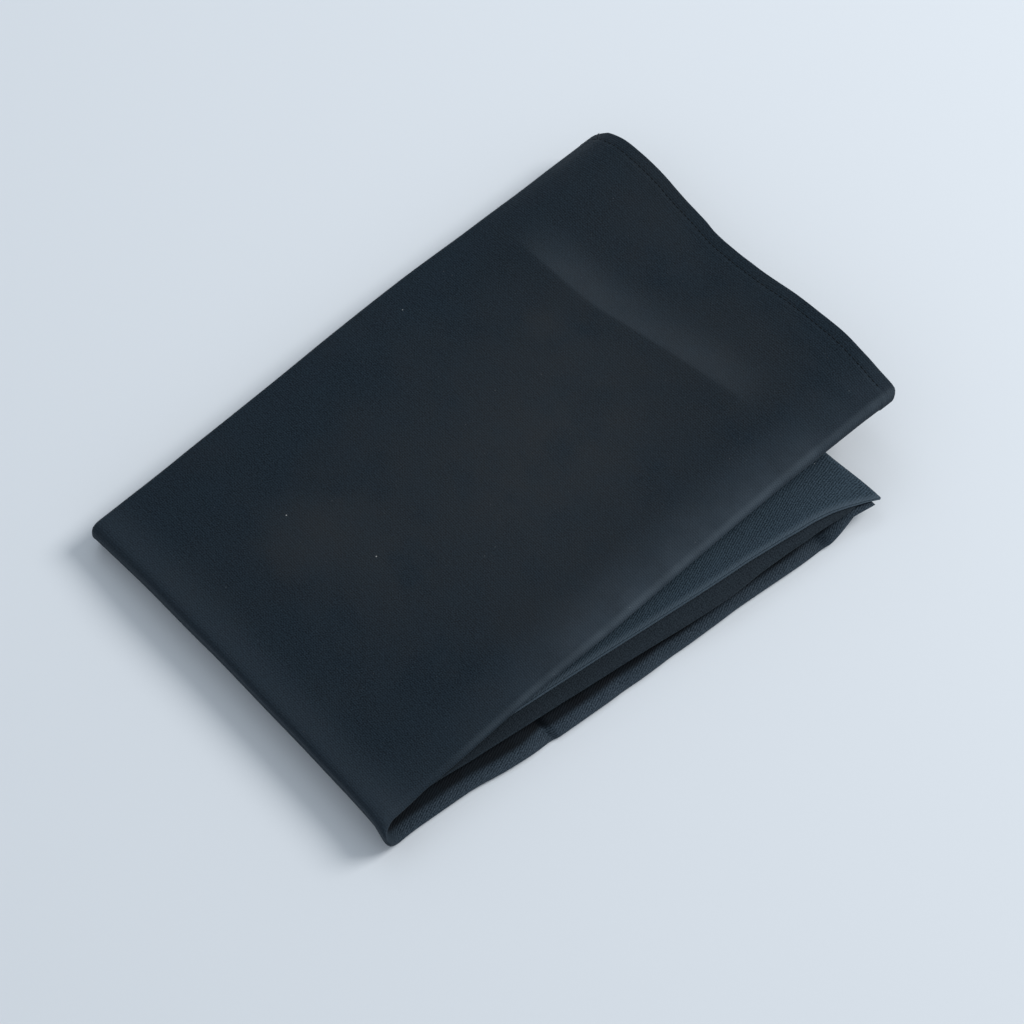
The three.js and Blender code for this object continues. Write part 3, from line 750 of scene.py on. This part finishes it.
def hard_material(name, dark, light, rough, metal=0.0, scale=400.0, wear=0.25):
    """Enamelled metal or moulded nylon: mottled colour, rubbed patches, tiny scratches."""
    m, nt, bsdf = node_tree(name)
    g = G(nt)
    v = g.obj()
    a = g.noise(v, scale, 4.0)
    x, y, z = g.sep(v)
    scratch = g.noise(g.comb(g.math("MULTIPLY", x, 6.0), y, z), scale * 2.2, 3.0)
    rub = g.ramp(a, 0.50, 0.72)
    col = g.mix(a, (*dark, 1), (*light, 1))
    col = g.mix(g.math("MULTIPLY", rub, wear), col, (*[min(1, 3.2 * c) for c in light], 1))
    nt.links.new(col, bsdf.inputs["Base Color"])
    nt.links.new(g.math("ADD", rough - 0.1, g.math("MULTIPLY", scratch, 0.25)), bsdf.inputs["Roughness"])
    nt.links.new(g.bump(g.math("ADD", a, g.math("MULTIPLY", scratch, 0.6)), 0.00004, 0.7), bsdf.inputs["Normal"])
    bsdf.inputs["Metallic"].default_value = metal
    return m


DARK, LIGHT, WARM = (0.0024, 0.0062, 0.0108), (0.0135, 0.0250, 0.0370), (0.0170, 0.0195, 0.0225)
# the pale colour serves rubbing and painted highlights on the folds and the ridge; DUST is dust
PALE_RUB_AND_HIGHLIGHT, DUST = (0.046, 0.062, 0.080), (0.0300, 0.0320, 0.0340)
# the lower flap's colours: the same cloth made lighter, as painted light on its exposed band
UNDER_LIT = ((0.0070, 0.0140, 0.0220), (0.0500, 0.0720, 0.0960))
mat_top = cloth_material("outer_cloth_mat", DARK, LIGHT, WARM, under=UNDER_LIT, ribs=0.75, cross=0.45, twill=0.45)
mat_in = cloth_material(
    "sleeve_cloth_mat", (0.0050, 0.0130, 0.0210), (0.0420, 0.0680, 0.0940), (0.0280, 0.0420, 0.0560),
    rim=0.4417, ribs=0.15, cross=0.15, twill=1.15, sheen=0.08, rough=0.68,
)
# painted shade: sleeve b is the same cloth as sleeve a in darker colours, for the shade under sleeve a
mat_in_b_shaded = cloth_material(
    "sleeve_b_cloth_mat", (0.0050, 0.0092, 0.0140), (0.0230, 0.0335, 0.0440), (0.0180, 0.0240, 0.0300),
    ribs=0.3, cross=0.2, twill=0.4, sheen=0.04, rough=0.72,
)
mat_liner = cloth_material(
    "liner_cloth_mat", (0.005, 0.0055, 0.0062), (0.013, 0.0142, 0.016), (0.011, 0.0115, 0.012),
    rib=0.8, cross=0.6, ribs=0.4, twill=0.0, sheen=0.05, rough=0.88, specks=False,
)
mat_seam = thread_material("seam_overlock_mat", (0.008, 0.010, 0.012), (0.026, 0.031, 0.036), pitch=1.6, slant=0.5)
mat_thread = thread_material("topstitch_thread_mat", (0.003, 0.0045, 0.006), (0.012, 0.015, 0.018), pitch=0.35, slant=1.2, sheen=0.0, vec="obj")
mat_tape = thread_material("zip_tape_mat", (0.005, 0.0055, 0.006), (0.016, 0.017, 0.019), pitch=0.7, slant=1.0, rough=0.75)
mat_elastic = thread_material("elastic_mat", (0.005, 0.0055, 0.006), (0.022, 0.024, 0.026), pitch=1.1, slant=0.0, rough=0.7)
mat_coil = hard_material("zip_coil_mat", (0.006, 0.0065, 0.007), (0.018, 0.019, 0.021), 0.42, 0.0, 500.0, 0.1)
mat_metal = hard_material("zip_metal_mat", (0.018, 0.018, 0.019), (0.050, 0.050, 0.052), 0.42, 0.85, 350.0, 0.35)


def dress(ob, mat, slot_name, body=None, replaces=()):
    ob.data.materials.clear()
    ob.data.materials.append(mat)
    if body:
        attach(ob, body)
    if replaces:
        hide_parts(*replaces)
    return ob


ALONG0 = math.pi * 10.4  # length of cloth in the half fold

# ---- the four layers of the folded body -----------------------------------------------------------------
E_TAPE_OUT = OUTER_ZIP + COIL_W / 2 + 6.5
E_TAPE_IN = INNER_ZIP + COIL_W / 2 + 6.5
E_LINER_END = INNER_ZIP - COIL_W / 2 - 6.5


def flap_grid(yy, dd, e_list):
    """Stations run from x = JOIN_X to the end; each station's e is blended so that the first is straight."""
    e_list = np.asarray(e_list, float)[:, None]
    e_first = (end_x(yy) - JOIN_X)[None, :]
    e0 = e_list[0, 0]
    f = np.clip((e_list - 60.0) / (e0 - 60.0), 0, 1)
    e = np.where(e_list > 60.0, 60.0 + f * (e_first - 60.0), e_list)
    return flap(yy[None, :], dd[None, :], e), e


fine_e = steps(330, 130, 4.5)[:-1] + steps(130, 60, 3.0)[:-1] + steps(60, 12, 1.8)[:-1] + steps(12, 0.0, 0.6)
mid_e = steps(330, 60, 6.5)[:-1] + steps(60, 12, 3.0)[:-1] + steps(12, 0, 1.5)


def e_to(lst, stop):
    out = [e for e in lst if e > stop + 0.3]
    return out + [stop]


base_x = steps(JOIN_X, -88, 3.0)[:-1] + steps(-88, -66, 1.0)[:-1] + steps(-66, 84, 3.0)[:-1] + steps(84, 134.85, 1.2)
base_x_mid = steps(JOIN_X, -88, 6.0)[:-1] + steps(-88, -66, 1.0)[:-1] + steps(-66, 84, 6.0)[:-1] + steps(84, 134.85, 1.2)


def fold_a(n, h):
    """Stations of the half fold: along the lower flap from JOIN_X, round, and out along the top flap."""
    flat = FOLD_X - JOIN_X  # negative length of the flat run on each side
    k = abs(flat)
    lo = [-v for v in steps(k, 0, h)[:-1]]
    mid = list(np.linspace(0, math.pi, n + 1))
    hi = [math.pi + v for v in steps(0, k, h)[1:]]
    return lo + mid + hi


def fold_v(a):
    a = np.asarray(a)
    r = 10.4
    return np.where(a < 0, a, np.where(a > math.pi, ALONG0 + (a - math.pi), a * r))


layers = [
    ("outer_back", 0.0, mat_top, "outer_cloth", True, 0.6),
    ("liner_back", PITCH, mat_liner, "liner_cloth", False, 1.5),
    ("liner_front", 2 * PITCH, mat_liner, "liner_cloth", False, E_TAPE_IN),
    ("outer_front", 3 * PITCH, mat_top, "outer_cloth", False, E_TAPE_OUT),
]
for name, w, mat, sl, fine, stop in layers:
    yy, dd, uu = thirds(w, step=(4.2, 2.4, 5.0) if fine else (7.0, 7.0, 7.0), arc_n=10 if fine else 7)
    th = T
    # top flap
    es = fine_e if fine else e_to(mid_e, stop)
    if fine:
        es = e_to(fine_e, 0.0)
    if name == "liner_back":
        es = e_to(mid_e, 9.6)  # sewn into the hem's inner edge
    P, E = flap_grid(yy, dd, es)
    v = ALONG0 + (JOIN_X - FOLD_X) + (es[0] - np.array(es))
    if name == "outer_back":
        # the hem: the cloth is turned under for 9 mm, so the end is thicker, rounded, and dimpled by the stitches
        e1 = np.array(es)
        extra = 0.55 * smooth(9.6, 8.6, e1)
        tip = np.sqrt(np.clip(1 - ((0.55 - np.minimum(e1, 0.55)) / 0.55) ** 2, 0.02, 1))
        groove = -0.30 * np.exp(-(((e1 - STITCH_IN) / 0.9) ** 2))
        th = (T + extra) * tip
        P = P.copy()
        # thickness is added underneath only, except that the groove presses in from above
        P[..., 2] -= (extra / 2)[:, None]
        P[..., 2] += (groove * 0.8)[:, None] * smooth(4.0, 1.5, dd)[None, :]
        P[..., 2] += (0.10 * np.exp(-(((e1 - 8.9) / 1.2) ** 2)))[:, None] * smooth(4.0, 1.5, dd)[None, :]
        th = th[:, None]
    th = th * np.clip(1.15 * squash(yy[None, :], smooth(0, -90, P[..., 0])), 0, 1)
    ob = shell("flap_%s_cloth" % name, P, uu, v, th)
    if name == "outer_back":
        # the third number carries the distance from the ridge, for the wear and the painted highlight along it
        away = 1.0 + 0.001 * (P[..., 0] - ridge_x(P[..., 1]))
        co = np.empty(len(ob.data.vertices) * 3, np.float32)
        ob.data.attributes["flat"].data.foreach_get("vector", co)
        co[2::3] = np.tile(away.ravel(), 2)
        ob.data.attributes["flat"].data.foreach_set("vector", co)
    dress(ob, mat, sl, "top_flap", ["flap_" + name])
    # half fold
    av = fold_a(26 if fine else 16, 1.6 if fine else 3.2)
    P = fold(yy[None, :], dd[None, :], np.array(av)[:, None])
    pressed = np.broadcast_to(T * np.clip(1.15 * squash(yy, 1.0), 0, 1), P.shape[:2])
    ob = shell("half_fold_%s_cloth" % name, P, uu, fold_v(av), pressed)
    dress(ob, mat, sl, None, ["half_fold_" + name])
    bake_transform(ob)
    # lower flap
    xs = np.array(base_x if fine else base_x_mid)
    P = base(yy[None, :], dd[None, :], xs[:, None])
    ob = shell("base_%s_cloth" % name, P, uu, -(xs - FOLD_X), thin(base, yy[None, :], dd[None, :], xs[:, None]))
    dress(ob, mat, sl, "lower_flap", ["base_" + name])

# the strip of liner beyond its zip
yy, dd, uu = thirds(2 * PITCH, step=(7, 7, 7), arc_n=7)
es = steps(E_LINER_END - 0.3, 1.5, 1.8)
P, E = flap(yy[None, :], dd[None, :], np.array(es)[:, None]), es
ob = shell("flap_liner_front_end_cloth", P, uu, -np.array(es), T)
dress(ob, mat_liner, "liner_cloth", "top_flap", ["flap_liner_front_end"])

# light-trap strip behind the outer zip
yy, dd, uu = thirds(2.5 * PITCH, -101, 101, step=(7, 7, 7), arc_n=7)
es = steps(16, 5, 1.8)
ob = shell("zip_baffle_cloth", flap(yy[None, :], dd[None, :], np.array(es)[:, None]), uu, -np.array(es), 0.12)
dress(ob, mat_liner, "outer_cloth", "top_flap", ["zip_baffle"])


# ---- zips ---------------------------------------------------------------------------------------------
def zip_parts(prefix, w, e0, end_to):
    tape_in = (e0 + COIL_W / 2 + 0.3, e0 + COIL_W / 2 + 6.2)
    for part, a, b in (
        ("tape_body", tape_in[1], tape_in[0]),
        ("tape_end", e0 - COIL_W / 2 - 0.3, end_to),
    ):
        yy, dd, uu = thirds(w, step=(6, 6, 6), arc_n=7)
        es = np.array(steps(a, b, 1.4))
        ob = shell("%s_%s_woven" % (prefix, part), flap(yy[None, :], dd[None, :], es[:, None]), uu, -es, 0.36)
        dress(ob, mat_tape, "zip_tape", "top_flap", ["%s_%s" % (prefix, part)])
    # coil: interlocking turns, each a rounded bar that reaches past the middle from one side
    yy, dd, uu = thirds(w, -98, 98, step=(0.62, 0.62, 0.62), arc_n=5)
    keep = np.r_[True, np.floor(uu[1:] / 1.24) != np.floor(uu[:-1] / 1.24)]
    ya, da = yy[keep], dd[keep]
    sec = [(-0.34, 0.0), (-0.34, 0.62), (-0.16, 0.86), (0.16, 0.86), (0.34, 0.62), (0.34, 0.0)]
    verts, faces = [], []
    for i in range(len(ya)):
        y, d = ya[i], da[i]
        j0, j1 = max(0, i - 1), min(len(ya) - 1, i + 1)
        ty, td = ya[j1] - ya[j0], da[j1] - da[j0]
        ln = math.hypot(ty, td) or 1.0
        ty, td = ty / ln, td / ln
        side = 1 if i % 2 == 0 else -1
        e_list = [e0 + side * 2.25, e0 + side * 1.9, e0 - side * 0.9, e0 - side * 1.25]
        grow = [0.55, 1.0, 1.0, 0.6]
        n0 = len(verts)
        # the coil stands on the face toward the bag's inside: normal of the section, to the right of travel
        ny, nd = -td, ty
        for e, gk in zip(e_list, grow):
            for s, h in sec:
                py = y + ty * s + ny * (0.1 + h * gk) * ZSIGN
                pd = d + td * s + nd * (0.1 + h * gk) * ZSIGN
                verts.append(flap(py, pd if abs(nd) < 0.5 else d + td * s, e) + np.array([0, 0, -nd * (0.1 + h * gk) * ZSIGN if abs(nd) >= 0.5 else 0]))
        m = len(sec)
        for k in range(3):
            for q in range(m):
                a, b = n0 + k * m + q, n0 + k * m + (q + 1) % m
                faces.append((a, b, b + m, a + m))
        faces.append(tuple(n0 + q for q in range(m))[::-1])
        faces.append(tuple(n0 + 3 * m + q for q in range(m)))
    ob = mesh_object(prefix + "_coil_turns", to_row(np.array(verts)), faces, smooth_angle=60)
    import bmesh

    bm = bmesh.new()
    bm.from_mesh(ob.data)
    bmesh.ops.recalc_face_normals(bm, faces=bm.faces)
    bm.to_mesh(ob.data)
    bm.free()
    dress(ob, mat_coil, "zip_coil", "top_flap", [prefix + "_coil"])


ZSIGN = -1.0
zip_parts("outer_zip", 3 * PITCH, OUTER_ZIP, 0.6)
zip_parts("inner_zip", 2 * PITCH, INNER_ZIP, E_LINER_END)


# ---- sewn seams ---------------------------------------------------------------------------------------
def seam(name, node, y0, y1, d0, d1, place, stations, body, spacing=1.6):
    """A rolled seam allowance, wrapped by overlock stitches that dent it at each pass."""
    n = 14
    ang = np.linspace(0, TAU, n, endpoint=False)
    cy, cd, ry, rd = (y0 + y1) / 2, (d0 + d1) / 2, (y1 - y0) / 2, (d1 - d0) / 2
    c, s = np.cos(ang), np.sin(ang)
    sy = np.sign(c) * np.abs(c) ** 0.6
    sd = np.sign(s) * np.abs(s) ** 0.6
    st = np.asarray(stations, float)
    puff = 0.90 + 0.10 * np.sin(TAU * np.arange(len(st)) / 4.0)
    P = np.stack([place(cy + ry * p * sy, cd + rd * p * sd, t) for p, t in zip(puff, st)])
    nS, m, _ = P.shape
    verts = P.reshape(-1, 3)
    faces = []
    for i in range(nS - 1):
        for j in range(m):
            faces.append((i * m + j, i * m + (j + 1) % m, (i + 1) * m + (j + 1) % m, (i + 1) * m + j))
    faces.append(tuple(range(m))[::-1])
    faces.append(tuple((nS - 1) * m + j for j in range(m)))
    uu = np.tile(ang / TAU * 2 * (ry + rd) * 2, nS)
    vv = np.repeat(np.r_[0, np.cumsum(np.linalg.norm(np.diff(P[:, 0], axis=0), axis=1))], m)
    ob = mesh_object(name, to_row(verts), faces, np.stack([uu, vv, 0 * uu], -1) * 0.001)
    import bmesh

    bm = bmesh.new()
    bm.from_mesh(ob.data)
    bmesh.ops.recalc_face_normals(bm, faces=bm.faces)
    bm.to_mesh(ob.data)
    bm.free()
    return dress(ob, mat_seam, "seam_thread", body, [node])


seam("base_side_seam_a_overlock", "base_side_seam_a", -105.9, -103.3, 3.05, 4.65, base, steps(JOIN_X, 134.6, 0.9), "lower_flap")
seam("base_side_seam_b_overlock", "base_side_seam_b", 103.3, 105.9, 5.65, 7.35, base, steps(JOIN_X, 134.6, 0.9), "lower_flap")
seam("flap_side_seam_a_overlock", "flap_side_seam_a", -105.9, -103.3, 3.05, 4.65, flap, steps(328, 26, 0.9), "top_flap")
seam("flap_side_seam_b_overlock", "flap_side_seam_b", 103.3, 105.9, 5.65, 7.35, flap, steps(328, 42, 0.9), "top_flap")
seam(
    "shoulder_seam_rolled", "shoulder_seam", 135.2, 137.6, 0.1, 2.1,
    lambda p, d, t: base(np.full_like(p, t), d, p), steps(-104, 106, 0.8), "lower_flap",
)

# ---- sleeves --------------------------------------------------------------------------------------------
TURN_LEN = math.pi * 4.0


def sleeve_v(s, scale=3.8):
    s = np.asarray(s)
    return np.where(s <= math.pi, s * scale, math.pi * scale + (s - math.pi))


def sleeve_piece(name, k, inset, s_list, mat, slot_name, nodes, blended, thick=T):
    lo, hi = {"a": (3.0, 5.2), "b": (5.4, 7.6)}[k]
    yy, dd, uu = tube(-112 + inset, 108 - inset, lo + 0.2 + inset * 0.86, hi - 0.2 - inset * 0.86)
    s_col = np.array(s_list)[:, None]
    P = sleeve(k)(yy[None, :], dd[None, :], s_col)
    th = np.where(s_col < math.pi, thick * 0.6, thin(sleeve(k), yy[None, :], dd[None, :], s_col, thick))
    ob = shell(name, P, uu, sleeve_v(s_list), th, closed=True)
    dress(ob, mat, slot_name, None if blended else "sleeve_flap", nodes)
    if blended:
        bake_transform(ob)
    return ob


def sleeve_s(x_to, h=3.0, turn=16):
    return list(np.linspace(0, math.pi, turn + 1)) + [math.pi + v for v in steps(0, TURN_X - x_to, h)[1:]]


for k in "ab":
    s_out = list(np.linspace(0, math.pi, 17)) + [math.pi + v for v in steps(0, TURN_X + 100, 3.0)[1:]]
    s_out += [math.pi + v for v in steps(TURN_X + 100, TURN_X - CUFF_X, 1.5)[1:]]
    sleeve_piece(
        "sleeve_%s_outer_cloth" % k, k, 0.0, s_out, mat_in if k == "a" else mat_in_b_shaded, "outer_cloth",
        ["sleeve_%s_turn_outer" % k, "sleeve_%s_outer" % k], True,
    )
    x_el = ELASTIC_X + ELASTIC_W / 2 + 0.15
    sleeve_piece(
        "sleeve_%s_liner_cloth" % k, k, 0.72, sleeve_s(x_el, 5.0, 12), mat_liner, "liner_cloth",
        ["sleeve_%s_turn_liner" % k, "sleeve_%s_liner" % k], True, 0.3,
    )
    for nm, node, a, b, mt, sl in (
        ("forearm_elastic_band", "forearm_elastic", ELASTIC_X + ELASTIC_W / 2 - 0.15, ELASTIC_X - ELASTIC_W / 2, mat_elastic, "elastic"),
        ("liner_cuff_cloth", "liner_cuff", ELASTIC_X - ELASTIC_W / 2 - 0.3, CUFF_X + ELASTIC_W + 1, mat_liner, "liner_cloth"),
        ("wrist_elastic_band", "wrist_elastic", CUFF_X + ELASTIC_W + 0.7, CUFF_X + 0.8, mat_elastic, "elastic"),
    ):
        s_l = [math.pi + v for v in steps(TURN_X - a, TURN_X - b, 1.6 if mt is mat_elastic else 3.0)]
        lo, hi = {"a": (3.0, 5.2), "b": (5.4, 7.6)}[k]
        yy, dd, uu = tube(-112 + 0.72, 108 - 0.72, lo + 0.2 + 0.62, hi - 0.2 - 0.62)
        P = sleeve(k)(yy[None, :], dd[None, :], np.array(s_l)[:, None])
        ob = shell("sleeve_%s_%s" % (k, nm), P, uu, sleeve_v(s_l), 0.3, closed=True)
        dress(ob, mt, sl, "sleeve_flap", ["sleeve_%s_%s" % (k, node)])

# ---- topstitching ---------------------------------------------------------------------------------------
verts, faces = [], []


def stitch_bar(p, q, r, sink):
    """A small rounded bar of thread from p to q (mm)."""
    d = q - p
    ln = np.linalg.norm(d)
    d = d / ln
    up = np.array([0, 0, 1.0])
    s = np.cross(d, up)
    s /= np.linalg.norm(s)
    up = np.cross(s, d)
    n0 = len(verts)
    rings = ((0.0, 0.25, -0.28), (0.1, 0.8, -0.06), (0.35, 1.0, 0.05), (0.65, 1.0, 0.05), (0.9, 0.8, -0.06), (1.0, 0.25, -0.28))
    for t, g, dz in rings:
        c = p + d * ln * t + up * (dz - sink)
        for a in np.linspace(0, TAU, 8, endpoint=False):
            verts.append(c + (s * math.cos(a) + up * math.sin(a)) * r * g)
    for i in range(len(rings) - 1):
        for j in range(8):
            faces.append((n0 + i * 8 + j, n0 + i * 8 + (j + 1) % 8, n0 + (i + 1) * 8 + (j + 1) % 8, n0 + (i + 1) * 8 + j))
    faces.append(tuple(n0 + j for j in range(8))[::-1])
    faces.append(tuple(n0 + (len(rings) - 1) * 8 + j for j in range(8)))


def on_hem(y):
    p = flap(y, 0.2, STITCH_IN)
    return p + np.array([0, 0, 0.2 - 0.30 * 0.8 + 0.06])


y = -106.0
while y < 108.0:
    stitch_bar(on_hem(y + 0.35), on_hem(y + 2.75), 0.24, 0.0)
    y += 3.1
# the loose end of thread near the corner
a = on_hem(108.2)
b = a + np.array([1.6, 2.2, 0.7])
stitch_bar(a, b, 0.16, 0.0)
stitch_bar(b, b + np.array([1.4, -0.6, 0.9]), 0.14, 0.0)
ob = mesh_object("end_topstitch_thread", to_row(np.array(verts)), faces, smooth_angle=70)
import bmesh

bm = bmesh.new()
bm.from_mesh(ob.data)
bmesh.ops.recalc_face_normals(bm, faces=bm.faces)
bm.to_mesh(ob.data)
bm.free()
dress(ob, mat_thread, "seam_thread", "top_flap", ["end_topstitch"])

# ---- carried-over metal parts -----------------------------------------------------------------------------
for n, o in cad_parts.items():
    if n.endswith(("_slider", "_pull", "_stop_closed", "_stop_open")):
        o.data.materials.clear()
        o.data.materials.append(mat_metal)
        mod = o.modifiers.new("edge", "BEVEL")
        mod.width = 0.00012
        mod.segments = 2
        mod.limit_method = "ANGLE"
        mod.angle_limit = math.radians(35)

# ---- floor, light, camera -----------------------------------------------------------------------------------
scene = bpy.context.scene
me = bpy.data.meshes.new("floor")
S = 6.0
me.from_pydata([(-S, -S, 0), (S, -S, 0), (S, S, 0), (-S, S, 0)], [], [(0, 1, 2, 3)])
floor = bpy.data.objects.new("floor", me)
floor.location.z = -0.0002
scene.collection.objects.link(floor)
fm, nt, bsdf = node_tree("floor_mat")
bsdf.inputs["Base Color"].default_value = (0.74, 0.785, 0.835, 1)
bsdf.inputs["Roughness"].default_value = 0.75
bsdf.inputs["Specular IOR Level"].default_value = 0.2
floor.data.materials.append(fm)
floor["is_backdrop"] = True

world = bpy.data.worlds.new("studio")
scene.world = world
world.use_nodes = True
bg = world.node_tree.nodes["Background"]
bg.inputs[0].default_value = (0.86, 0.93, 1.0, 1)
bg.inputs[1].default_value = 0.50


def area(name, loc, target, size, power, color):
    l = bpy.data.lights.new(name, "AREA")
    l.shape = "DISK"
    l.size = size
    l.energy = power
    l.color = color
    o = bpy.data.objects.new(name, l)
    o.location = loc
    d = Vector(target) - Vector(loc)
    o.rotation_euler = d.to_track_quat("-Z", "Y").to_euler()
    scene.collection.objects.link(o)
    return o


area("key", (2.3, -0.95, 2.1), (0, 0, 0), 1.5, 72.0, (1.0, 0.985, 0.965))
area("back", (0.5, 1.3, 1.7), (0, 0, 0), 1.2, 4.0, (0.88, 0.94, 1.0))

EL, TH = math.radians(63.0), 0.7375
TX, TY, DIST, FOCAL = -1.761, -16.659, 1540.378, 3000.0
gd = np.array([math.sin(TH), math.cos(TH), 0.0])
right = np.array([math.cos(TH), -math.sin(TH), 0.0])
fwd = np.array([gd[0] * math.cos(EL), gd[1] * math.cos(EL), -math.sin(EL)])
up = np.array([gd[0] * math.sin(EL), gd[1] * math.sin(EL), math.cos(EL)])
cam_pos = to_row(np.array([TX, TY, 0.0]) - fwd * DIST)
cd = bpy.data.cameras.new("camera")
cd.sensor_width = 36.0
cd.lens = 36.0 * FOCAL / 1024.0
cd.clip_end = 100.0
cam = bpy.data.objects.new("camera", cd)
m = Matrix.Identity(4)
for i in range(3):
    m[i][0], m[i][1], m[i][2], m[i][3] = right[i], up[i], -fwd[i], cam_pos[i]
cam.matrix_world = m
scene.collection.objects.link(cam)
scene.camera = cam
scene.view_settings.view_transform = "Standard"

vis_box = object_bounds()
plain = lambda b: [[float(c) for c in b[0]], [float(c) for c in b[1]]]
{"cad": plain(cad_box), "visual": plain(vis_box)}
